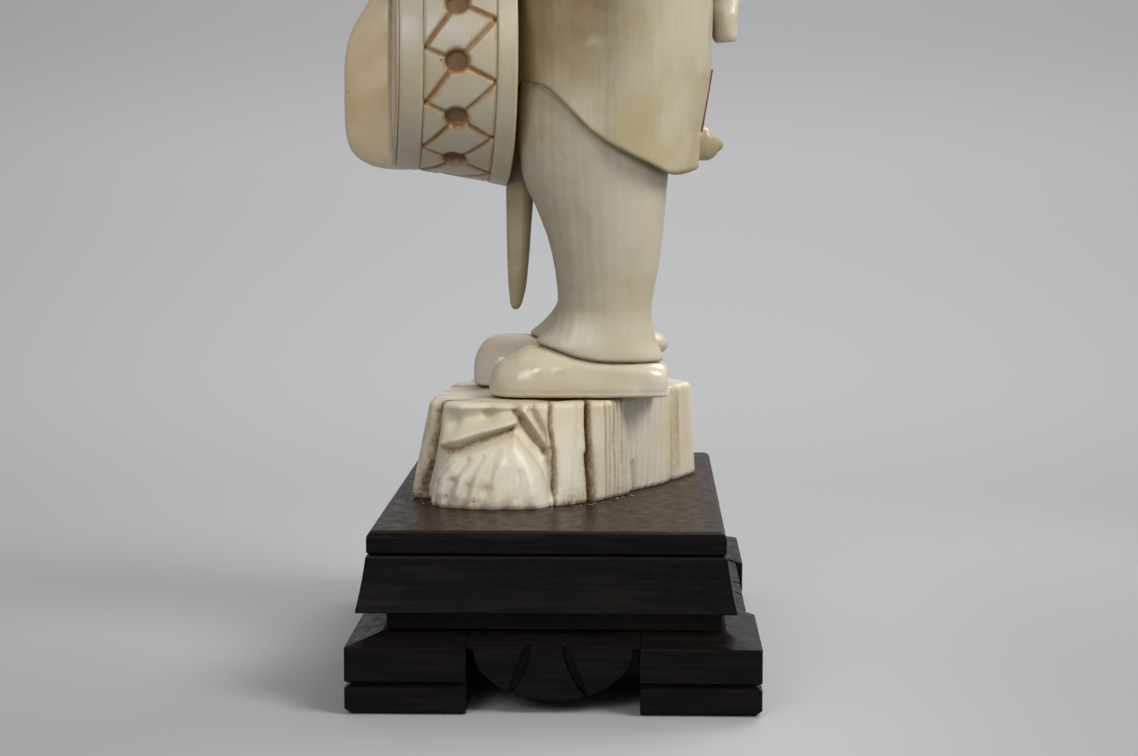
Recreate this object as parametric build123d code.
from build123d import *
import os
from math import atan2, copysign, cos, degrees, pi, radians, sin

# A carved drummer on a rock, fixed to a two-tier hardwood stand. The figure faces -Y, the origin is
# the middle of the stand's underside, and the stand's long side lies along X.

# General clearances
glue_gap = 0.05
hole_gap = 0.05
overrun = 2.0

# Stand, lower tier
stand_length = 96.0
stand_width = 60.0
foot_length = 26.0
foot_width = 17.5
foot_bevel = 0.9
tier_edge_height = 9.8
shoulder_height = 11.3
shoulder_inset = 5.0
tier_groove_height = 4.4
tier_groove_half = 0.45
tier_groove_depth = 1.0
apron_thickness = 6.0
apron_inset = 1.2
apron_lobe_bottom = 2.0
apron_lobe_top = 9.4
apron_lobe_share = 0.92
apron_line_width = 1.4
apron_line_depth = 1.2

# Stand, upper tier
waist_inset = 5.6
waist_height = 3.0
cornice_inset = 2.4
cornice_height = 8.1
cornice_taper = 1.5
cornice_hollow = 0.12
tablet_height = 3.7
tablet_setback = 0.1
tablet_round = 1.2
tablet_groove_height = 0.35
tablet_groove_depth = 0.5
upper_tier_shift = -1.1

# Rock
rock_length = 58.0
rock_width = 44.6
rock_height = 15.5
rock_middle_x = -4.0
rock_middle_y = -0.9
rock_groove_depth = 1.3
rock_groove_width = 1.6
boulder_height = 9.8
base_peg_radius = 2.0
base_peg_depth = 2.4
base_peg_rise = 7.0
base_peg_spread = 26.0
peg_end_gap = 0.3

# Shoes and legs
foot_spread = 16.6
figure_middle_x = -2.0
figure_middle_y = 7.6
shoe_length = 28.2
shoe_width = 12.6
shoe_height = 8.1
shoe_toe_y = -11.5
right_toe_forward = 3.5
right_shoe_extra = 2.8
right_leg_forward = 2.0
leg_seat_height = 4.2
leg_height = 46.2
leg_depth = 24.0
leg_width = 13.6
leg_middle_y = 5.3
leg_squareness = 2.2
foot_peg_radius = 1.6
foot_peg_depth = 4.5
foot_peg_rise = 7.0

# Robe, sash and upper body
robe_bottom_height = 32.4
robe_height = 31.0
robe_depth = 32.0
robe_width = 33.4
robe_squareness = 3.0
hem_flip_length = 5.6
sash_height = 8.5
sash_proud = 0.8
torso_height = 42.5
torso_depth = 30.0
torso_width = 38.0
torso_squareness = 2.4
collar_width = 2.8
collar_proud = 0.6
collar_depth = 33.0
body_peg_radius = 3.0
body_peg_depth = 7.0
knot_width = 11.0
knot_depth = 4.2
knot_height = 8.0
knot_end_drop = 7.5
tail_length = 37.5
tail_width = 6.4
tail_depth = 5.0
tail_middle_y = -7.2
tail_insert = 2.0
tail_squareness = 2.6
strap_width = 3.4
strap_spread = 15.8
strap_thickness = 0.9
seal_width = 5.0
seal_height = 10.0
seal_thickness = 1.0
seal_proud = 0.3
seal_rise = 14.3

# Head
head_height = 21.5
head_depth = 19.0
head_width = 16.0
head_forward = 4.6
neck_radius = 4.7
neck_insert = 5.0
neck_height = 6.5
chin_gap = 0.2
band_radius = 1.25
band_knot_radius = 1.9
band_end_length = 5.0
topknot_length = 9.0
topknot_radius = 2.2
topknot_peg_radius = 0.8
topknot_peg_depth = 2.5

# Arms
sleeve_drop = 38.0
sleeve_reach = 36.4
sleeve_thickness = 11.2
sleeve_squareness = 2.3
right_sleeve_out = 29.0
left_sleeve_out = 33.0
left_sleeve_drop = 40.0
left_sleeve_reach = 21.0
arm_radius = 7.4
arm_peg_radius = 1.8
arm_peg_length = 9.0
palm_length = 8.6
palm_radius = 3.1
finger_radius = 1.05
finger_curl = 2.25
finger_count = 4
wrist_peg_radius = 1.1
wrist_peg_length = 7.0
stick_radius = 1.1
stick_length = 27.0

# Drum
drum_radius = 20.8
drum_taper = 3.0
drum_thickness = 18.6
drum_wall = 3.0
drum_rise = 53.9
drum_gap = 1.0
drum_yaw = 8.0
drum_tilt = 0.5
front_hoop_width = 4.4
back_hoop_width = 3.2
hoop_ring = 2.3
hoop_proud = 0.2
head_skin_thickness = 1.4
head_skin_recess = 0.5
lace_hole_count = 13
lace_hole_radius = 1.7
lace_hole_depth = 1.7
lace_turn_share = 0.84
lace_groove_width = 0.7
lace_groove_depth = 0.6
drum_peg_radius = 2.0
drum_peg_depth = 5.0
drum_peg_rise = 3.5

# Heights that stack up from the stand
waist_z = shoulder_height
cornice_z = waist_z + waist_height
tablet_z = cornice_z + cornice_height
stand_top = tablet_z + tablet_height
sole_z = stand_top + rock_height
leg_z = sole_z + leg_seat_height
robe_z = sole_z + robe_bottom_height
sash_z = robe_z + robe_height
torso_z = sash_z + sash_height
torso_top = torso_z + torso_height
head_z = torso_top + chin_gap
drum_z = sole_z + drum_rise
ring_points = 12
row_splits = 2


def parts_file(name, shape):
    shape.label = name
    export_step(shape, "parts/" + name + ".step")


def join(shapes):
    """Fuse a list of shapes into one."""
    return Part() + list(shapes)


def group(shapes):
    """Keep a list of separate solids together in one node."""
    return Compound(children=[solid for shape in shapes for solid in shape.solids()])


def oval(plane, half_x, half_y, squareness=2):
    """A closed smooth ring in a plane: an ellipse, or a squarer one."""
    points = []
    for step in range(ring_points):
        turn = 2 * pi * step / ring_points
        across, along = cos(turn), sin(turn)
        px = half_x * copysign(abs(across) ** (2 / squareness), across)
        py = half_y * copysign(abs(along) ** (2 / squareness), along)
        points.append(plane.from_local_coords((px, py, 0)))
    return Wire([Edge.make_spline(points, periodic=True)])


def column_slope(rows, column, index):
    """The slope of one column of a table at one row, level at its peaks and hollows."""
    last = len(rows) - 1
    steps = []
    for low, high in ((index - 1, index), (index, index + 1)):
        if low >= 0 and high <= last:
            steps.append((rows[high][column] - rows[low][column]) / (rows[high][0] - rows[low][0]))
    if len(steps) == 1:
        return steps[0]
    before, after = steps
    return 2 * before * after / (before + after) if before * after > 0 else 0


def fair_rows(rows, splits):
    """A table with more rows, on a curve through each column that never passes its neighbours."""
    fair = []
    for index in range(len(rows) - 1):
        low, high = rows[index], rows[index + 1]
        gap = high[0] - low[0]
        for step in range(splits):
            part = step / splits
            square, cube = part ** 2, part ** 3
            row = [low[0] + part * gap]
            for column in range(1, len(low)):
                row.append(low[column] * (2 * cube - 3 * square + 1) + high[column] * (3 * square - 2 * cube)
                           + gap * column_slope(rows, column, index) * (cube - 2 * square + part)
                           + gap * column_slope(rows, column, index + 1) * (cube - square))
            fair.append(row)
    return fair + [list(rows[-1])]


def level_stack(place, size, shares, grow=0, squareness=2, lean=None):
    """Loft level ovals. Each row holds height, sideways and back offsets and half width and depth,
    as shares of the size. Lean gives a forward shift for a share of the height."""
    rings = []
    for up, side, back, half_wide, half_deep in fair_rows(shares, row_splits):
        shift = lean(up) if lean else 0
        centre = (place[0] + side * size[0], place[1] + back * size[1] + shift, place[2] + up * size[2])
        rings.append(oval(Plane(centre), half_wide * size[0] + grow, half_deep * size[1] + grow, squareness))
    return Solid.make_loft(rings, ruled=True)


def fore_stack(place, size, shares, grow=0, squareness=2):
    """Loft upright ovals along Y. Each row holds Y, X and Z offsets and half width and height."""
    rings = []
    for back, side, up, half_wide, half_high in fair_rows(shares, row_splits):
        centre = (place[0] + side * size[0], place[1] + back * size[1], place[2] + up * size[2])
        plane = Plane(centre, x_dir=(1, 0, 0), z_dir=(0, -1, 0))
        rings.append(oval(plane, half_wide * size[0] + grow, half_high * size[2] + grow, squareness))
    return Solid.make_loft(rings, ruled=True)


def limb(points, radii, flat=1):
    """Loft rings across a line of points, each square to the run through its neighbours."""
    rows = [(index, *point, radius) for index, (point, radius) in enumerate(zip(points, radii))]
    fair = fair_rows(rows, 2 * row_splits)
    rings = []
    last = len(fair) - 1
    for index, (step, x, y, z, radius) in enumerate(fair):
        ahead = Vector(*fair[min(index + 1, last)][1:4]) - Vector(*fair[max(index - 1, 0)][1:4])
        side = ahead.cross(Vector(0, 0, 1)).normalized()
        rings.append(oval(Plane((x, y, z), x_dir=side, z_dir=ahead), radius * flat, radius))
    return Solid.make_loft(rings, ruled=True)


def rectangle(half_x, half_y, middle_y, z):
    corners = [(-half_x, middle_y - half_y, z), (half_x, middle_y - half_y, z),
               (half_x, middle_y + half_y, z), (-half_x, middle_y + half_y, z)]
    return Wire.make_polygon([Vector(*corner) for corner in corners])


def moulding(length, width, middle_y, levels):
    """A block with level edges: each level gives its height and its inset from the outer rectangle."""
    rings = [rectangle(length / 2 - inset, width / 2 - inset, middle_y, z) for z, inset in levels]
    return Solid.make_loft(rings, ruled=True)


def turned(profile):
    """Turn a closed outline of radius and height pairs about the Z axis."""
    face = Plane.XZ * make_face([Polyline(*profile, close=True)])
    return revolve(face, Axis.Z)


def rod(start, direction, length, radius):
    return Solid.make_cylinder(radius, length, Plane(start, z_dir=direction))


# Stand
def lower_tier():
    groove = tier_groove_height
    levels = [(0, foot_bevel), (foot_bevel, 0), (groove - tier_groove_half, 0), (groove, tier_groove_depth),
              (groove + tier_groove_half, 0), (tier_edge_height, 0), (shoulder_height, shoulder_inset)]
    return moulding(stand_length, stand_width, 0, levels)


def foot(side_x, side_y):
    """A corner foot: the lower tier's corner, with its groove and sloping shoulder."""
    block = Box(foot_length, foot_width, shoulder_height, align=(Align.CENTER, Align.CENTER, Align.MIN))
    place_x = side_x * (stand_length - foot_length) / 2
    place_y = side_y * (stand_width - foot_width) / 2
    return lower_tier() & Pos(place_x, place_y, 0) * block


def engraved_line(top, bottom, bow):
    """A thin crescent between two points, for a carved line."""
    middle = (top + bottom) / 2
    across = Vector(bottom.Y - top.Y, top.X - bottom.X).normalized()
    left = ThreePointArc(top, middle + across * (bow - apron_line_width / 2), bottom)
    right = ThreePointArc(bottom, middle + across * (bow + apron_line_width / 2), top)
    return make_face([left, right])


apron_line_shares = [(-0.13, -0.28, -0.02), (0.05, 0.21, 0.02)]


def apron(span):
    """A half-round apron that hangs between two feet, made facing -Y with its middle at zero."""
    drop = apron_lobe_top - apron_lobe_bottom
    points = []
    for step in range(2 * ring_points + 1):
        turn = pi * step / (2 * ring_points)
        points.append((apron_lobe_share * span / 2 * cos(turn), apron_lobe_top - drop * sin(turn)))
    points += [(-span / 2, apron_lobe_top), (-span / 2, shoulder_height), (span / 2, shoulder_height),
               (span / 2, apron_lobe_top)]
    front = Plane((0, 0, 0), x_dir=(1, 0, 0), z_dir=(0, -1, 0))
    lobe = make_face([Polyline(*points, close=True)])
    blank = extrude(front * lobe, -(apron_inset + apron_thickness))
    blank -= Pos(0, apron_inset / 2, 0) * Box(span, apron_inset, shoulder_height * 2)
    slope = [(apron_inset, tier_edge_height), (shoulder_inset, shoulder_height),
             (shoulder_inset, shoulder_height + overrun), (0, shoulder_height + overrun),
             (0, tier_edge_height)]
    side = Plane((-span, 0, 0), x_dir=(0, 1, 0), z_dir=(1, 0, 0))
    blank -= extrude(side * make_face([Polyline(*slope, close=True)]), 2 * span)
    for top_share, bottom_share, bow_share in apron_line_shares:
        top = Vector(top_share * span, tier_edge_height + overrun)
        bottom = Vector(bottom_share * span, apron_lobe_bottom)
        line = engraved_line(top, bottom, bow_share * span)
        blank -= Pos(0, apron_inset, 0) * extrude(front * line, -apron_line_depth)
    return blank


def place_apron(side):
    end_span = stand_width - 2 * foot_width
    long_span = stand_length - 2 * foot_length
    if side in ("front", "back"):
        turn = 0 if side == "front" else 180
        return Rot(0, 0, turn) * (Pos(0, -stand_width / 2, 0) * apron(long_span))
    turn = 90 if side == "left" else -90
    return Rot(0, 0, turn) * (Pos(0, -stand_length / 2, 0) * apron(end_span))


def waist():
    levels = [(waist_z, waist_inset), (cornice_z, waist_inset)]
    return moulding(stand_length, stand_width, 0, levels)


cornice_shares = [(0, 0, 0), (0.25, 0.25, 0.8), (0.5, 0.5, 1), (0.75, 0.75, 0.75), (1, 1, 0)]


def cornice():
    levels = []
    for up, taper, hollow in cornice_shares:
        inset = cornice_inset + taper * cornice_taper + hollow * cornice_hollow
        levels.append((cornice_z + up * cornice_height, inset))
    return moulding(stand_length, stand_width, upper_tier_shift, levels)


def tablet_inset():
    return cornice_inset + cornice_taper + tablet_setback


def tablet():
    outer = tablet_inset()
    groove_top = tablet_z + tablet_groove_height
    levels = [(tablet_z, outer + tablet_groove_depth), (groove_top, outer + tablet_groove_depth / 2),
              (groove_top + tablet_groove_height / 2, outer)]
    for step in range(5):
        turn = pi / 2 * step / 4
        levels.append((stand_top - tablet_round * (1 - sin(turn)), outer + tablet_round * (1 - cos(turn))))
    block = moulding(stand_length, stand_width, upper_tier_shift, levels)
    for peg in base_pegs(hole_gap):
        block -= peg
    return block


def base_pegs(grow=0):
    """Two dowels that hold the rock on the stand."""
    bottom = stand_top - base_peg_depth - (peg_end_gap if grow else 0)
    length = stand_top + base_peg_rise + (peg_end_gap if grow else 0) - bottom
    places = [rock_middle_x - base_peg_spread / 2, rock_middle_x + base_peg_spread / 2]
    return [rod((x, rock_middle_y, bottom), (0, 0, 1), length, base_peg_radius + grow) for x in places]


# Rock: outlines as shares of its length and width, from the near left corner round by the right
rock_bottom_shares = [(0.26, -0.50), (0.31, -0.44), (0.37, -0.42), (0.42, -0.36), (0.45, -0.24),
                      (0.44, -0.10), (0.43, 0.02), (0.33, 0.16), (0.22, 0.25), (0.10, 0.33),
                      (-0.01, 0.40), (-0.12, 0.45), (-0.23, 0.50), (-0.36, 0.43), (-0.46, 0.27),
                      (-0.50, 0.04), (-0.46, -0.18), (-0.34, -0.35), (-0.17, -0.43), (0.02, -0.48),
                      (0.17, -0.50)]
rock_top_shares = [(0.25, -0.44), (0.29, -0.39), (0.33, -0.39), (0.37, -0.33), (0.38, -0.20),
                   (0.36, -0.06), (0.33, 0.06), (0.31, 0.18), (0.21, 0.27), (0.10, 0.34),
                   (-0.01, 0.40), (-0.12, 0.44), (-0.22, 0.48), (-0.34, 0.41), (-0.43, 0.26),
                   (-0.47, 0.04), (-0.43, -0.16), (-0.32, -0.31), (-0.15, -0.39), (0.03, -0.42),
                   (0.18, -0.43)]
boulder_bottom_shares = [(0.28, -0.44), (0.40, -0.42), (0.475, -0.34), (0.50, -0.23), (0.49, -0.12),
                         (0.45, -0.05), (0.30, 0.00)]
boulder_top_shares = [(0.24, -0.30), (0.32, -0.30), (0.36, -0.26), (0.38, -0.21), (0.38, -0.14),
                      (0.34, -0.10), (0.24, -0.10)]
# Grooves in the rock's face: the outline corner each one starts from, the way along, and its size
rock_groove_shares = [(0.9, 1.3), (4.6, 0.5), (5.5, 1.2), (6.3, 0.5), (6.9, 1.3), (7.4, 0.5), (7.8, 0.6),
                      (8.3, 0.5), (8.8, 0.6), (9.3, 0.5), (9.9, 0.6), (10.5, 0.8), (11.2, 1.0),
                      (13.4, 0.9), (14.5, 1.1), (15.5, 0.8), (16.4, 1.2), (17.5, 0.8), (18.4, 1.1)]


def rock_point(shares, z):
    return Vector(rock_middle_x + shares[0] * rock_length, rock_middle_y + shares[1] * rock_width, z)


def rock_ring(shares, z):
    return Wire.make_polygon([rock_point(pair, z) for pair in shares])


def along_ring(shares, where, z):
    """A point part of the way round an outline, and the outward direction there."""
    index = int(where)
    start = rock_point(shares[index % len(shares)], z)
    end = rock_point(shares[(index + 1) % len(shares)], z)
    run = end - start
    return start + run * (where - index), Vector(run.Y, -run.X, 0).normalized(), run.normalized()


def rock_groove(where, scale):
    """A tall narrow wedge that cuts a crack from the rock's top to its foot."""
    rings = []
    for shares, z, beyond in ((rock_bottom_shares, stand_top, -overrun), (rock_top_shares, sole_z, overrun)):
        point, out, run = along_ring(shares, where, z)
        half = run * (rock_groove_width * scale / 2)
        mouth = point + out * overrun + Vector(0, 0, beyond)
        root = point - out * (rock_groove_depth * scale) + Vector(0, 0, beyond)
        rings.append(Wire.make_polygon([mouth - half * 2, mouth + half * 2, root]))
    return Solid.make_loft(rings, ruled=True)


def rock():
    body = Solid.make_loft([rock_ring(rock_bottom_shares, stand_top), rock_ring(rock_top_shares, sole_z)],
                           ruled=True)
    boulder = Solid.make_loft([rock_ring(boulder_bottom_shares, stand_top),
                               rock_ring(boulder_top_shares, stand_top + boulder_height)], ruled=True)
    shape = Part() + body
    for where, scale in rock_groove_shares:
        shape -= rock_groove(where, scale)
    shape += boulder
    for peg in base_pegs(hole_gap) + foot_pegs(hole_gap):
        shape -= peg
    return shape


# Shoes, legs and their pegs
# Rows: the way back from the toe, the half width at the sole, the height, and how far the section has
# changed from the vamp's to the upright quarter's, as shares
left_shoe_shares = [(0.000, 0.15, 0.38, 0), (0.025, 0.28, 0.57, 0), (0.070, 0.38, 0.72, 0),
                    (0.140, 0.45, 0.86, 0), (0.210, 0.48, 1.00, 0), (0.330, 0.50, 1.02, 0.35),
                    (0.480, 0.50, 0.92, 0.8), (0.700, 0.48, 0.80, 1), (0.900, 0.43, 0.71, 1),
                    (0.975, 0.37, 0.65, 1), (1.000, 0.30, 0.56, 1)]
right_shoe_shares = [(0.000, 0.20, 0.55, 0), (0.025, 0.31, 0.78, 0), (0.070, 0.40, 0.97, 0),
                     (0.140, 0.46, 1.05, 0), (0.210, 0.48, 1.06, 0), (0.330, 0.50, 1.04, 0.35),
                     (0.480, 0.50, 0.92, 0.8), (0.700, 0.48, 0.80, 1), (0.900, 0.43, 0.71, 1),
                     (0.975, 0.37, 0.65, 1), (1.000, 0.30, 0.56, 1)]
# The shoe's sections above the flat sole, as shares of its half width and height
upper_shares = [(1.00, 0.00), (1.04, 0.30), (0.90, 0.66), (0.52, 0.92), (0.00, 1.00)]
quarter_shares = [(1.00, 0.00), (1.03, 0.34), (0.99, 0.72), (0.70, 0.97), (0.00, 1.00)]


def foot_middle(side):
    return figure_middle_x + side * foot_spread / 2


def toe_y(side):
    return shoe_toe_y - (right_toe_forward if side < 0 else 0)


def sole_length(side):
    return shoe_length + (right_shoe_extra if side < 0 else 0)


def shoe(side):
    """A slip-on shoe on a flat sole, with the leg's place cut out of its top."""
    rings = []
    for back, half_wide, high, turn in fair_rows(left_shoe_shares if side > 0 else right_shoe_shares,
                                                 row_splits):
        middle = Plane((foot_middle(side), toe_y(side) + back * sole_length(side), sole_z), x_dir=(1, 0, 0),
                       z_dir=(0, -1, 0))
        section = [between(vamp, quarter, turn) for vamp, quarter in zip(upper_shares, quarter_shares)]
        right = [(across * half_wide * shoe_width, up * high * shoe_height) for across, up in section]
        left = [(-across, up) for across, up in reversed(right[:-1])]
        points = [middle.from_local_coords((across, up, 0)) for across, up in right + left]
        rings.append(Wire([Edge.make_line(points[-1], points[0]), Edge.make_spline(points)]))
    shape = Part() + Solid.make_loft(rings, ruled=True)
    shape -= leg_form(side, glue_gap)
    for peg in foot_pegs(hole_gap):
        shape -= peg
    return shape


leg_shares = [(0.000, 0, 0.010, 0.450, 0.440), (0.040, 0, 0.010, 0.448, 0.442),
              (0.090, 0, -0.006, 0.430, 0.416), (0.130, 0, 0.026, 0.395, 0.366),
              (0.205, 0, 0.060, 0.357, 0.310),
              (0.342, 0, 0.073, 0.400, 0.340), (0.446, 0, 0.063, 0.429, 0.375),
              (0.565, 0, 0.029, 0.457, 0.429), (0.667, 0, -0.004, 0.479, 0.479),
              (0.827, 0, -0.002, 0.500, 0.508), (1.000, 0, 0.008, 0.500, 0.500)]
lean_share = 0.33
# The legging's lower edge from the side, as shares of the leg's depth and the shoe's height
legging_shares = [(-0.66, 1.25), (-0.42, 1.075), (-0.26, 0.95), (-0.14, 0.83), (0.01, 0.74), (0.19, 0.715),
                  (0.44, 0.705), (0.66, 0.70)]
ankle_share = 0.76


def step_forward(side):
    return right_leg_forward if side < 0 else 0


def leg_lean(side):
    """How the foot's step fades out up the leg."""
    def lean(up):
        part = min(1, up / lean_share)
        return -step_forward(side) * (1 - part * part * (3 - 2 * part))
    return lean


def below_legging(side, grow):
    middle = leg_middle_y - step_forward(side)
    points = [(middle + y * leg_depth, sole_z + z * shoe_height - grow) for y, z in legging_shares]
    low = sole_z - overrun
    rest = Polyline(points[-1], (points[-1][0], low), (points[0][0], low), points[0])
    plane = Plane((foot_middle(side) - leg_width, 0, 0), x_dir=(0, 1, 0), z_dir=(1, 0, 0))
    return extrude(plane * make_face([Spline(*points), rest]), 2 * leg_width)


def leg_form(side, grow=0):
    """A leg in loose leggings that lie over the shoe, with the ankle inside the shoe."""
    place = (foot_middle(side), leg_middle_y, leg_z - grow)
    size = (leg_width, leg_depth, leg_height + 2 * grow)
    legging = level_stack(place, size, leg_shares, grow, leg_squareness, leg_lean(side))
    narrow = (leg_width * ankle_share, leg_depth * ankle_share, size[2])
    ankle = level_stack(place, narrow, leg_shares[:4], grow, leg_squareness, leg_lean(side))
    return (Part() + legging - below_legging(side, grow)) + ankle


def leg(side):
    shape = Part() + leg_form(side)
    for peg in foot_pegs(hole_gap):
        shape -= peg
    return shape


def foot_pegs(grow=0):
    """One peg in each foot: through the shoe, down into the rock and up into the ankle."""
    end = peg_end_gap if grow else 0
    bottom = sole_z - foot_peg_depth - end
    length = foot_peg_depth + leg_seat_height + foot_peg_rise + 2 * end
    pegs = []
    for side in (-1, 1):
        y = leg_middle_y - step_forward(side)
        pegs.append(rod((foot_middle(side), y, bottom), (0, 0, 1), length, foot_peg_radius + grow))
    return pegs


# Robe below the sash
robe_shares = [(0.00, 0, -0.006, 0.480, 0.440), (0.14, 0, -0.005, 0.485, 0.443),
               (0.31, 0, -0.009, 0.490, 0.456), (0.61, 0, 0.003, 0.497, 0.494),
               (0.82, 0, 0.004, 0.500, 0.498), (1.00, 0, 0.005, 0.500, 0.500)]
# The hem's side view as shares of the robe's depth and height: it climbs from the back to the front
hem_shares = [(-0.62, 0.60), (-0.435, 0.525), (-0.36, 0.540), (-0.24, 0.458), (-0.10, 0.310),
              (0.10, 0.187), (0.22, 0.126), (0.29, 0.090), (0.44, 0.115), (0.62, 0.130)]


def robe_form(grow=0):
    place = (figure_middle_x, figure_middle_y, robe_z)
    return level_stack(place, (robe_width, robe_depth, robe_height), robe_shares, grow, robe_squareness)


def back_of_robe(up):
    """How far back the robe reaches at a share of its height."""
    for low, high in zip(robe_shares, robe_shares[1:]):
        if low[0] <= up <= high[0]:
            part = (up - low[0]) / (high[0] - low[0])
            reach = low[2] + low[4] + part * (high[2] + high[4] - low[2] - low[4])
            return figure_middle_y + reach * robe_depth
    return figure_middle_y + robe_depth / 2


def front_of_robe():
    back, deep = robe_shares[-1][2], robe_shares[-1][4]
    return figure_middle_y + (back - deep) * robe_depth


def below_hem():
    points = [(figure_middle_y + y * robe_depth, robe_z + z * robe_height) for y, z in hem_shares]
    line = Spline(*points)
    low = robe_z - overrun
    rest = Polyline(points[-1], (points[-1][0], low), (points[0][0], low), points[0])
    side = Plane((figure_middle_x - robe_width, 0, 0), x_dir=(0, 1, 0), z_dir=(1, 0, 0))
    return extrude(side * make_face([line, rest]), 2 * robe_width)


hem_flip_share = 0.15
flip_shares = [(0.0, 0, 0.0, 0.20, 0.20), (0.1, 0, 0.05, 0.42, 0.36), (0.5, 0, 0.05, 0.50, 0.46),
               (0.9, 0, 0.0, 0.42, 0.40), (1.0, 0, 0.0, 0.25, 0.25)]


def hem_flip():
    """The turned-out corner of the hem behind the right leg."""
    size = (hem_flip_length, hem_flip_length, hem_flip_length)
    place = (figure_middle_x - robe_width / 4, back_of_robe(hem_flip_share) + hem_flip_length / 8,
             robe_z + hem_flip_share * robe_height)
    return level_stack(place, size, flip_shares, 0, tail_squareness)


def robe_skirt():
    shape = Part() + robe_form()
    shape += hem_flip()
    shape -= below_hem()
    for side in (-1, 1):
        shape -= leg_form(side, glue_gap)
    shape -= tail_form(glue_gap)
    shape -= body_peg(hole_gap)
    shape -= seal(glue_gap)
    shape -= drum_peg(hole_gap)
    shape -= drum_blank(glue_gap)
    return shape


def seal(grow=0):
    """A blank red lacquer plate let into the back of the robe."""
    reach_low = back_of_robe((seal_rise - seal_height / 2) / robe_height)
    reach_high = back_of_robe((seal_rise + seal_height / 2) / robe_height)
    lean = degrees(atan2(reach_high - reach_low, seal_height))
    middle_y = back_of_robe(seal_rise / robe_height) + seal_proud - seal_thickness / 2
    plate = Box(seal_width + 2 * grow, seal_thickness + 2 * grow, seal_height + 2 * grow)
    return Pos(figure_middle_x, middle_y, robe_z + seal_rise) * (Rot(-lean, 0, 0) * plate)


tail_shares = [(0.00, 0, -0.12, 0.10, 0.10), (0.03, 0, -0.10, 0.22, 0.20), (0.12, 0, -0.06, 0.34, 0.31),
               (0.35, 0, -0.01, 0.44, 0.40), (0.60, 0, 0.04, 0.50, 0.47), (1.00, 0, 0.10, 0.50, 0.50)]


def tail_form(grow=0):
    """The pointed cloth end that hangs in front, between the legs."""
    place = (figure_middle_x, tail_middle_y, hem_front_z() + tail_insert - tail_length - grow)
    size = (tail_width, tail_depth, tail_length + 2 * grow)
    return level_stack(place, size, tail_shares, grow, tail_squareness)


def robe_tail():
    return (Part() + tail_form() - drum_blank(glue_gap)).solids().sort_by(SortBy.VOLUME)[-1]


def hem_front_z():
    return robe_z + hem_shares[1][1] * robe_height


def body_peg(grow=0):
    """The peg that joins the skirt, the sash and the upper body."""
    end = peg_end_gap if grow else 0
    bottom = sash_z - body_peg_depth - end
    length = sash_height + 2 * body_peg_depth + 2 * end
    return rod((figure_middle_x, figure_middle_y, bottom), (0, 0, 1), length, body_peg_radius + grow)


# Sash
sash_shares = [(0.00, 0, 0, 0.485, 0.485), (0.12, 0, 0, 0.500, 0.500), (0.45, 0, 0, 0.496, 0.496),
               (0.52, 0, 0, 0.490, 0.490), (0.60, 0, 0, 0.496, 0.496), (0.90, 0, 0, 0.500, 0.500),
               (1.00, 0, 0, 0.480, 0.480)]


def sash_depth():
    return torso_depth + 2 * sash_proud


def sash():
    place = (figure_middle_x, figure_middle_y + sash_proud, sash_z)
    size = (robe_width + 2 * sash_proud, sash_depth(), sash_height)
    shape = Part() + level_stack(place, size, sash_shares, 0, robe_squareness)
    shape -= body_peg(hole_gap)
    shape -= drum_blank(glue_gap)
    return shape


knot_loop_shares = [(0.00, 0, 0, 0.22, 0.30), (0.15, 0, 0, 0.42, 0.45), (0.50, 0, 0, 0.50, 0.50),
                    (0.85, 0, 0, 0.42, 0.45), (1.00, 0, 0, 0.22, 0.30)]
knot_end_shares = [(-0.22, 0.08), (0.16, -0.06)]
knot_end_thick_shares = [0.33, 0.38, 0.33]
knot_end_flatness = 1.7
knot_squareness = 2.6


def sash_knot():
    """The tied knot at the back of the sash with its two hanging ends."""
    back = figure_middle_y + sash_proud + sash_depth() / 2
    place = (figure_middle_x, back + knot_depth / 4, sash_z + (sash_height - knot_height) / 2)
    size = (knot_width, knot_depth, knot_height)
    shape = Part() + level_stack(place, size, knot_loop_shares, 0, knot_squareness)
    for offset, slant in knot_end_shares:
        x = figure_middle_x + offset * knot_width
        top = (x, place[1], sash_z + sash_height / 2)
        low = (x + slant * knot_width, place[1] + knot_depth / 8, sash_z - knot_end_drop)
        middle = ((low[0] + top[0]) / 2, top[1], (low[2] + top[2]) / 2)
        shape += limb([low, middle, top], [knot_depth * share for share in knot_end_thick_shares],
                      knot_end_flatness)
    shape -= level_stack((figure_middle_x, figure_middle_y + sash_proud, sash_z),
                         (robe_width + 2 * sash_proud, sash_depth(), sash_height), sash_shares, 0,
                         robe_squareness)
    shape -= robe_form(glue_gap)
    shape -= torso_form(glue_gap)
    return shape.solids().sort_by(SortBy.VOLUME)[-1]


# Upper body
torso_shares = [(0.00, 0, 0.000, 0.425, 0.480), (0.20, 0, 0.007, 0.435, 0.473),
                (0.50, 0, 0.000, 0.462, 0.447), (0.74, 0, -0.013, 0.490, 0.405),
                (0.86, 0, -0.033, 0.455, 0.333),
                (0.94, 0, -0.047, 0.310, 0.262), (1.00, 0, -0.057, 0.200, 0.230)]


def torso_form(grow=0):
    place = (figure_middle_x, figure_middle_y + sash_proud, torso_z)
    return level_stack(place, (torso_width, torso_depth, torso_height), torso_shares, grow, torso_squareness)


def neck(grow=0):
    place_y = figure_middle_y - head_forward * neck_back_share
    bottom = torso_top - neck_insert - (peg_end_gap if grow else 0)
    length = neck_insert + neck_height + (peg_end_gap if grow else 0)
    return rod((figure_middle_x, place_y, bottom), (0, neck_lean_share, 1), length, neck_radius + grow)


# The collar's two edges, from beside the neck to where they meet, as shares of the torso's width
collar_top_share = 0.12
collar_low_share = 0.015


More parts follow.
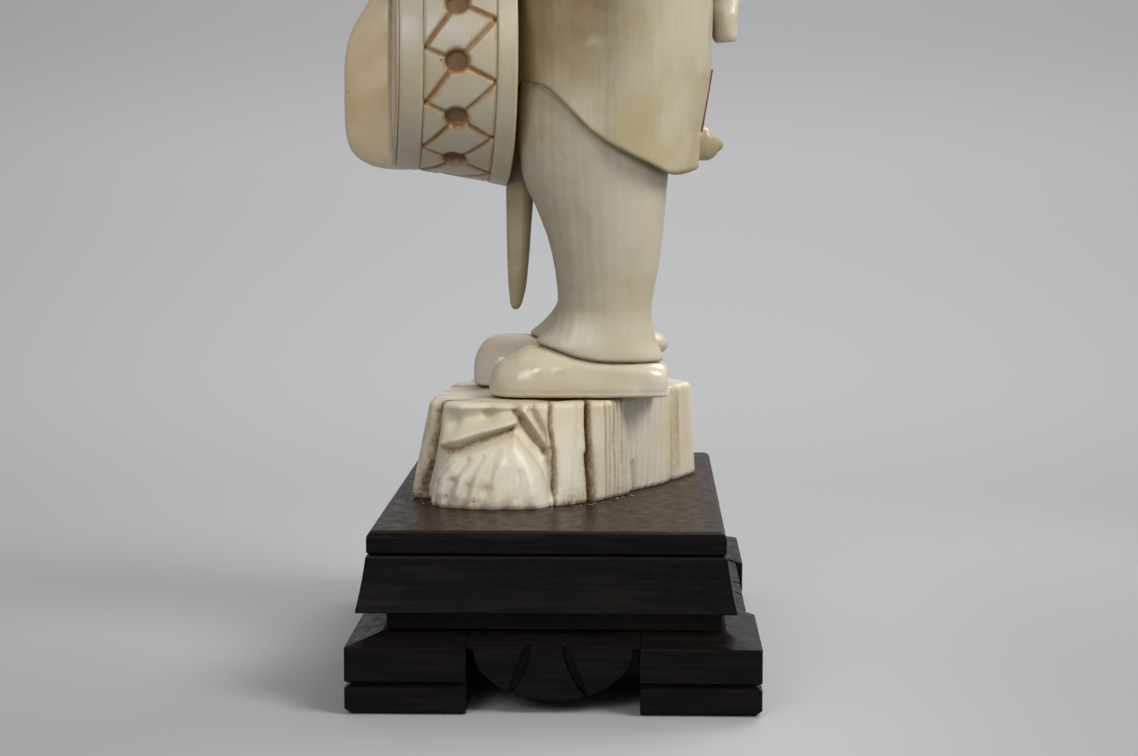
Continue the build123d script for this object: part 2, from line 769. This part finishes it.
def collar():
    """Two raised lapels that cross on the chest."""
    bands = []
    for side in (-1, 1):
        top = Vector(figure_middle_x + side * collar_top_share * torso_width, 0, torso_top)
        low = Vector(figure_middle_x - side * collar_low_share * torso_width, 0, torso_top - collar_depth)
        across = Vector(collar_width / 2, 0, 0)
        corners = [top - across, top + across, low + across, low - across]
        front = make_face([Polyline(*corners, close=True)])
        bands.append(extrude(front, torso_depth, dir=(0, -1, 0)))
    return (Part() + torso_form(collar_proud)) & join(bands)


def torso():
    shape = Part() + torso_form() + collar()
    shape -= neck(hole_gap)
    shape -= body_peg(hole_gap)
    for peg in arm_pegs(hole_gap):
        shape -= peg
    shape -= drum_blank(glue_gap)
    return shape


def drum_strap():
    """Two flat straps that come up from the drum, pass over the shoulders and tuck into the sash."""
    bands = []
    for side in (-1, 1):
        x = figure_middle_x + side * strap_spread / 2
        bands.append(Pos(x, figure_middle_y, torso_z) * Box(strap_width, 2 * torso_depth, torso_height,
                                                             align=(Align.CENTER, Align.CENTER, Align.MIN)))
    shape = (Part() + torso_form(glue_gap + strap_thickness)) & join(bands)
    shape -= torso_form(glue_gap)
    shape -= drum_blank(glue_gap)
    return group([shape])


# Head
head_shares = [(0.00, 0, -0.235, 0.14, 0.11), (0.05, 0, -0.190, 0.26, 0.22), (0.16, 0, -0.080, 0.38, 0.34),
               (0.33, 0, -0.030, 0.45, 0.43), (0.52, 0, 0.000, 0.485, 0.485), (0.70, 0, 0.010, 0.50, 0.495),
               (0.84, 0, 0.015, 0.45, 0.44), (0.94, 0, 0.020, 0.33, 0.31), (1.00, 0, 0.020, 0.15, 0.14)]
nose_shares = [(0.00, 0, 0.00, 0.50, 0.34), (0.22, 0, -0.12, 0.62, 0.52), (0.55, 0, 0.12, 0.40, 0.42),
               (1.00, 0, 0.42, 0.28, 0.28)]
ear_shares = [(0.00, 0, 0, 0.30, 0.30), (0.25, 0, 0, 0.45, 0.45), (0.75, 0, 0, 0.50, 0.50),
              (1.00, 0, 0, 0.35, 0.35)]
# Places on the head as shares of its width, depth and height, then sizes in the same shares
nose_at_shares = (0, -0.47, 0.30)
nose_size_shares = (0.20, 0.167, 0.25)
ear_at_shares = (0.47, 0.04, 0.28)
ear_size_shares = (0.125, 0.20, 0.25)
# Slits: place across and up, width, height, and how far back from the face's front they start
eye_slit_shares = (0.21, 0.47, 0.22, 0.035, 0.10)
mouth_slit_shares = (0, 0.20, 0.26, 0.035, 0.055)
neck_back_share = 0.4
neck_lean_share = -0.08
band_at_shares = (0, 0.012, 0.72)
band_lean_share = -0.12
band_hug_share = 0.25
band_knot_at_shares = (0, -0.50, 0.775)
band_end_way_shares = [(-0.75, -0.30, 0.60), (0.75, -0.30, 0.60)]
topknot_at_shares = (0, 0.06, 0.955)
topknot_back_share = 0.35


def head_place():
    return figure_middle_x, figure_middle_y - head_forward, head_z


def on_head(shares, side=1):
    """A point given by shares of the head's width, depth and height."""
    x, y, z = head_place()
    return x + side * shares[0] * head_width, y + shares[1] * head_depth, z + shares[2] * head_height


def head_part_size(shares):
    return shares[0] * head_width, shares[1] * head_depth, shares[2] * head_height


def head_form(grow=0):
    return level_stack(head_place(), (head_width, head_depth, head_height), head_shares, grow)


def face_slit(side, side_share, up_share, wide_share, high_share, set_back_share):
    """A shallow slit cut into the face for an eye or the mouth."""
    x, front, z = on_head((side_share, set_back_share - 1 / 2, up_share), side)
    wide, high = wide_share * head_width, high_share * head_height
    middle = (x, z)
    left, right = (middle[0] - wide / 2, middle[1]), (middle[0] + wide / 2, middle[1])
    upper = ThreePointArc(left, (middle[0], middle[1] + high / 2), right)
    lower = ThreePointArc(right, (middle[0], middle[1] - high / 2), left)
    plane = Plane((0, front, 0), x_dir=(1, 0, 0), z_dir=(0, -1, 0))
    return extrude(plane * make_face([upper, lower]), head_depth)


def head():
    shape = Part() + head_form()
    shape += neck()
    shape += level_stack(on_head(nose_at_shares), head_part_size(nose_size_shares), nose_shares)
    for side in (-1, 1):
        shape += level_stack(on_head(ear_at_shares, side), head_part_size(ear_size_shares), ear_shares)
        shape -= face_slit(side, *eye_slit_shares)
    shape -= face_slit(1, *mouth_slit_shares)
    shape -= topknot_peg(hole_gap)
    return shape


def headband():
    """A twisted cloth band tied round the head above the ears."""
    plane = Plane(on_head(band_at_shares), x_dir=(1, 0, 0), z_dir=(0, band_lean_share, 1))
    hug = band_radius * band_hug_share
    path = oval(plane, head_width / 2 + hug, head_depth / 2 + hug)
    start = path @ 0
    section = Wire.make_circle(band_radius, Plane(start, z_dir=path % 0))
    shape = Part() + Solid.sweep(Face(section), path=path)
    knot = Vector(*on_head(band_knot_at_shares))
    shape += Pos(*knot) * Sphere(band_knot_radius)
    for way_shares in band_end_way_shares:
        way = Vector(*way_shares).normalized() * band_end_length
        shape += limb([tuple(knot), tuple(knot + way / 2), tuple(knot + way)],
                      [band_knot_radius / 2, band_radius, band_radius / 2])
    shape -= head_form(glue_gap)
    return shape.solids().sort_by(SortBy.VOLUME)[-1]


def topknot_peg(grow=0):
    x, y, seat = on_head(topknot_at_shares)
    end = peg_end_gap if grow else 0
    bottom = head_z + head_height - topknot_peg_depth - end
    return rod((x, y, bottom), (0, 0, 1), topknot_peg_depth + end + topknot_radius / 2,
               topknot_peg_radius + grow)


topknot_shares = [(0.00, 0, 0.45, 0.30, 0.30), (0.10, 0, 0.48, 0.46, 0.44), (0.40, 0, 0.50, 0.40, 0.40),
                  (0.55, 0, 0.52, 0.34, 0.34), (0.70, 0, 0.54, 0.44, 0.44), (0.93, 0, 0.52, 0.52, 0.50),
                  (1.00, 0, 0.50, 0.34, 0.34)]


def topknot():
    """The bound tail of hair laid along the crown, with its own peg."""
    x, y, seat = on_head(topknot_at_shares)
    size = (2 * topknot_radius, topknot_length, 2 * topknot_radius)
    place = (x, y - topknot_length * topknot_back_share, seat)
    shape = Part() + fore_stack(place, size, topknot_shares)
    shape -= head_form(glue_gap)
    return (shape + topknot_peg()).solids().sort_by(SortBy.VOLUME)[-1]


# Arms and hands. Rows: Y and Z offsets from the elbow and half width and height, as shares.
right_sleeve_shares = [(0.00, 0, -0.730, 0.14, 0.16), (0.02, 0, -0.722, 0.26, 0.25),
                       (0.08, 0, -0.695, 0.38, 0.335), (0.19, 0, -0.640, 0.45, 0.425),
                       (0.38, 0, -0.550, 0.48, 0.500),
                       (0.60, 0, -0.430, 0.49, 0.495), (0.82, 0, -0.220, 0.50, 0.410),
                       (1.00, 0, -0.010, 0.50, 0.265)]
left_sleeve_shares = [(0.00, 0, 0.300, 0.22, 0.09), (0.10, 0, 0.215, 0.38, 0.20),
                      (0.30, 0, 0.080, 0.47, 0.36), (0.52, 0, -0.060, 0.50, 0.47),
                      (0.74, 0, -0.130, 0.48, 0.47), (0.92, 0, -0.110, 0.36, 0.36),
                      (1.00, 0, -0.090, 0.20, 0.22)]


# Shares of the upper body's width, depth and height
shoulder_shares = (0.37, -0.03, 0.81)
elbow_shares = {-1: (-0.36, 0.10), 1: (-0.20, 0.50)}
# Shares of a sleeve's thickness, reach and drop, from the elbow
wrist_shares = {-1: (0.12, -0.70, -0.12), 1: (-0.20, -0.58, 0.33)}
wrist_way_shares = {-1: (0.22, -1, 0.10), 1: (-0.15, -0.72, 0.68)}
sack_back_shares = {-1: -0.975, 1: -0.62}
sack_drop_shares = {-1: 0.01, 1: 0}
# Shares of the arm's radius
arm_bow_shares = (0.35, 0.20)
arm_top_share = 0.86
arm_peg_out_share = 0.55
# Shares of the palm
palm_root_share = 0.72
palm_tip_share = 0.95
fist_share = 0.80
finger_press_share = 0.92


def shoulder(side):
    """Where an arm leaves the upper body."""
    out, back, up = shoulder_shares
    return (figure_middle_x + side * out * torso_width, figure_middle_y + back * torso_depth,
            torso_z + up * torso_height)


def elbow(side):
    out = left_sleeve_out if side > 0 else right_sleeve_out
    back, up = elbow_shares[side]
    return (figure_middle_x + side * out, figure_middle_y + back * torso_depth, torso_z + up * torso_height)


def sleeve_size(side):
    if side > 0:
        return sleeve_thickness, left_sleeve_reach, left_sleeve_drop
    return sleeve_thickness, sleeve_reach, sleeve_drop


def between(start, end, share):
    return tuple(a + (b - a) * share for a, b in zip(start, end))


def upper_arm(side):
    start, end = elbow(side), shoulder(side)
    middle = between(start, end, 0.5)
    out, up = arm_bow_shares
    middle = (middle[0] + side * arm_radius * out, middle[1], middle[2] + arm_radius * up)
    return limb([start, middle, end], [arm_radius, arm_radius, arm_radius * arm_top_share])


def sleeve_form(side):
    """A wide sleeve that hangs from the forearm, with the upper arm above it."""
    x, y, z = elbow(side)
    size = sleeve_size(side)
    rows = left_sleeve_shares if side > 0 else right_sleeve_shares
    place = (x, y + sack_back_shares[side] * size[1], z - sack_drop_shares[side] * size[2])
    sack = fore_stack(place, size, rows, 0, sleeve_squareness)
    return Part() + sack + upper_arm(side)


def sleeve(side):
    shape = sleeve_form(side)
    shape -= torso_form(glue_gap)
    for peg in arm_pegs(hole_gap) + wrist_pegs(hole_gap):
        shape -= peg
    return shape.solids().sort_by(SortBy.VOLUME)[-1]


def arm_direction(side):
    start, end = Vector(*elbow(side)), Vector(*shoulder(side))
    return (start - end).normalized()


def arm_pegs(grow=0):
    pegs = []
    for side in (-1, 1):
        way = arm_direction(side)
        length = arm_peg_length + (2 * peg_end_gap if grow else 0)
        start = Vector(*shoulder(side)) + way * (arm_radius * arm_peg_out_share - length / 2)
        pegs.append(rod(start, way, length, arm_peg_radius + grow))
    return pegs


def wrist(side):
    """Where the hand leaves the sleeve, and the way it points."""
    steps = [share * size for share, size in zip(wrist_shares[side], sleeve_size(side))]
    return Vector(*elbow(side)) + Vector(*steps), Vector(*wrist_way_shares[side]).normalized()


def wrist_pegs(grow=0):
    pegs = []
    for side in (-1, 1):
        point, way = wrist(side)
        length = wrist_peg_length + (2 * peg_end_gap if grow else 0)
        pegs.append(rod(point - way * (length / 2), way, length, wrist_peg_radius + grow))
    return pegs


def fist(side):
    point, way = wrist(side)
    return point + way * (palm_length * fist_share)


stick_way_shares = {-1: (0.93, 0.24, -0.27), 1: (-0.45, -0.62, -0.35)}


def stick_way(side):
    return Vector(*stick_way_shares[side]).normalized()


stick_grip_share = 0.22
stick_profile_shares = [(0.00, 0.80), (0.02, 1.00), (0.40, 1.00), (0.80, 0.80), (0.90, 0.75), (0.92, 1.05),
                        (0.95, 1.25), (0.98, 1.05), (1.00, 0.60)]


def drumstick(side, grow=0):
    """A turned stick with a round tip, held through the fist."""
    way = stick_way(side)
    start = fist(side) - way * (stick_length * stick_grip_share)
    if grow:
        return rod(start, way, stick_length, stick_radius + grow)
    edge = [(thick * stick_radius, along * stick_length) for along, thick in stick_profile_shares]
    return Plane(start, z_dir=way) * turned([(0, 0)] + edge + [(0, stick_length)])


def hand(side):
    """A closed hand: a palm from the wrist and curled fingers round the stick."""
    point, way = wrist(side)
    grip = stick_way(side)
    centre = fist(side)
    start = point + way * glue_gap
    middle = point + way * (palm_length / 2)
    shape = Part() + limb([tuple(start), tuple(middle), tuple(centre)],
                          [palm_radius * palm_root_share, palm_radius, palm_radius * palm_tip_share])
    for index in range(finger_count):
        along = (index - (finger_count - 1) / 2) * 2 * finger_radius * finger_press_share
        plane = Plane(centre + grip * along, x_dir=way, z_dir=grip)
        shape += plane * Torus(finger_curl, finger_radius)
    shape -= drumstick(side, hole_gap)
    for peg in wrist_pegs(hole_gap):
        shape -= peg
    shape -= sleeve_form(side)
    return shape.solids().sort_by(SortBy.VOLUME)[-1]


# Drum, made with its axis along its own Z from the body side to the front, then put in place
def drum_plane():
    yaw, tilt = radians(drum_yaw), radians(drum_tilt)
    forward = Vector(sin(yaw) * cos(tilt), -cos(yaw) * cos(tilt), sin(tilt))
    side = Vector(cos(yaw), sin(yaw), 0)
    y = front_of_robe() - drum_gap
    return Plane((figure_middle_x - 2 * drum_gap, y, drum_z), x_dir=side, z_dir=forward)


def drum_radius_at(z):
    return drum_radius - drum_taper * z / drum_thickness


def drum_blank(grow=0):
    """The drum's whole outer form, for cutting what lies behind it clear."""
    blank = Solid.make_cone(drum_radius + grow, drum_radius_at(drum_thickness) + grow,
                            drum_thickness + 2 * grow, Plane((0, 0, -grow)))
    return drum_plane() * (Part() + blank)


def skin_radius():
    return drum_radius - drum_taper - hoop_ring


def shell_bottom():
    return head_skin_recess + head_skin_thickness


def shell_top():
    return drum_thickness - head_skin_recess - head_skin_thickness


def band_low():
    return back_hoop_width


def band_high():
    return drum_thickness - front_hoop_width


def lace_cutters():
    """Holes and crossing grooves round the shell."""
    cutters = []
    pitch = 2 * pi / lace_hole_count
    low, high = band_low(), band_high()
    middle = (low + high) / 2
    for index in range(lace_hole_count):
        turn = pitch * (index + lace_turn_share)
        radius = drum_radius_at(middle) - hoop_proud
        out = Vector(cos(turn), sin(turn), 0)
        cutters.append(rod(out * (radius - lace_hole_depth) + Vector(0, 0, middle), out,
                           lace_hole_depth + overrun, lace_hole_radius))
        for side in (-1, 1):
            for edge in (low, high):
                far = turn + side * pitch / 2
                start = out * radius + Vector(0, 0, middle)
                end = Vector(cos(far) * radius, sin(far) * radius, edge)
                run = end - start
                middle_out = Vector(start.X + end.X, start.Y + end.Y, 0).normalized()
                across = run.cross(middle_out).normalized()
                plane = Plane(start, x_dir=across, z_dir=run)
                wedge = [(-lace_groove_width, lace_groove_depth), (0, -lace_groove_depth),
                         (lace_groove_width, lace_groove_depth)]
                if plane.y_dir.dot(middle_out) < 0:
                    wedge = [(x, -y) for x, y in wedge]
                cutters.append(extrude(plane * make_face([Polyline(*wedge, close=True)]), run.length))
    return cutters


def drum_shell():
    inner = skin_radius() - drum_wall + hoop_ring / 2
    rim = skin_radius() - hole_gap
    low, high = band_low(), band_high()
    profile = [(inner, shell_bottom()), (rim, shell_bottom()), (rim, low),
               (drum_radius_at(low) - hoop_proud, low), (drum_radius_at(high) - hoop_proud, high),
               (rim, high), (rim, shell_top()), (inner, shell_top())]
    carved = turned(profile) - lace_cutters()
    return drum_plane() * carved.solids().sort_by(SortBy.VOLUME)[-1]


def drum_hoop(low, high):
    """A smooth hoop with rounded outer corners."""
    outer_low, outer_high = drum_radius_at(low), drum_radius_at(high)
    corner = hoop_proud
    profile = [(skin_radius(), low), (outer_low - corner, low), (outer_low, low + corner),
               (outer_high, high - corner), (outer_high - corner, high), (skin_radius(), high)]
    return drum_plane() * turned(profile)


def drum_skin(low):
    disc = Solid.make_cylinder(skin_radius() - hole_gap, head_skin_thickness, Plane((0, 0, low)))
    shape = drum_plane() * (Part() + disc)
    return shape - drum_peg(hole_gap)


def drum_peg(grow=0):
    """The peg that carries the drum on the front of the robe."""
    end = peg_end_gap if grow else 0
    plane = drum_plane()
    start = plane.origin - plane.z_dir * (drum_peg_depth + drum_gap + end)
    length = drum_peg_depth + drum_gap + end + drum_peg_rise
    return rod(start, plane.z_dir, length, drum_peg_radius + grow)


def build():
    os.makedirs("parts", exist_ok=True)
    parts_file("stand_tablet", tablet())
    parts_file("stand_cornice", cornice())
    parts_file("stand_waist", waist())
    for name_x, side_x in (("left", 1), ("right", -1)):
        for name_y, side_y in (("front", -1), ("back", 1)):
            parts_file("stand_foot_" + name_y + "_" + name_x, foot(side_x, side_y))
    for side in ("front", "back", "left", "right"):
        parts_file("stand_apron_" + side, place_apron(side))
    parts_file("base_pegs", group(base_pegs()))
    parts_file("rock_base", rock())
    parts_file("foot_pegs", group(foot_pegs()))
    for name, side in (("left", 1), ("right", -1)):
        parts_file(name + "_shoe", shoe(side))
        parts_file(name + "_leg", leg(side))
        parts_file(name + "_sleeve", sleeve(side))
        parts_file(name + "_hand", hand(side))
        parts_file(name + "_drumstick", drumstick(side))
    parts_file("robe_skirt", robe_skirt())
    parts_file("blank_seal", seal())
    parts_file("robe_tail", robe_tail())
    parts_file("sash", sash())
    parts_file("sash_knot", sash_knot())
    parts_file("body_peg", body_peg())
    parts_file("torso", torso())
    parts_file("drum_strap", drum_strap())
    parts_file("arm_pegs", group(arm_pegs()))
    parts_file("wrist_pegs", group(wrist_pegs()))
    parts_file("head", head())
    parts_file("headband", headband())
    parts_file("topknot", topknot())
    parts_file("drum_shell", drum_shell())
    parts_file("drum_hoop_back", drum_hoop(0, band_low()))
    parts_file("drum_hoop_front", drum_hoop(band_high(), drum_thickness))
    parts_file("drum_skin_back", drum_skin(head_skin_recess))
    parts_file("drum_skin_front", drum_skin(shell_top()))
    parts_file("drum_peg", drum_peg())


build()
